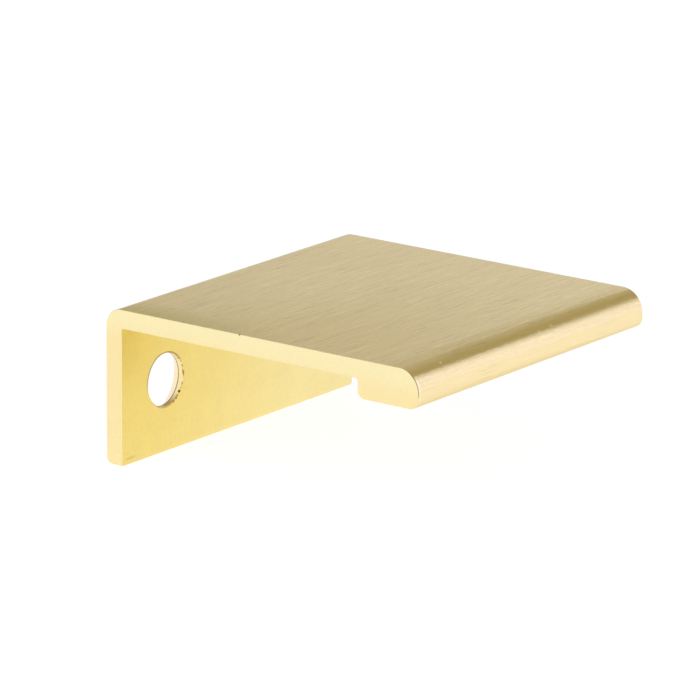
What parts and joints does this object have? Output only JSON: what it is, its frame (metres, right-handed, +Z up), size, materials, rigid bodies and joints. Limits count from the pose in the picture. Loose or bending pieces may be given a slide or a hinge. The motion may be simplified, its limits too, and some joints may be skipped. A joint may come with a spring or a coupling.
{
  "type": "tab pull",
  "caption": "L-shaped tab pull with a lipped nose. Its drilled flange screws behind a door or drawer front and the plate lies over the edge.",
  "frame": {"origin": "midway between the two screw holes, on the flange face that meets the back of the door or drawer front", "axes": "+X along the pull, -Y out of the mounting face towards the nose, +Z up towards the plate's top"},
  "size_m": [0.04, 0.0403, 0.0171],
  "materials": {
    "brushed_brass": "satin, brushed along the pull"
  },
  "bodies": {
    "root": {"pull_body": "brushed_brass"}
  },
  "joints": []
}
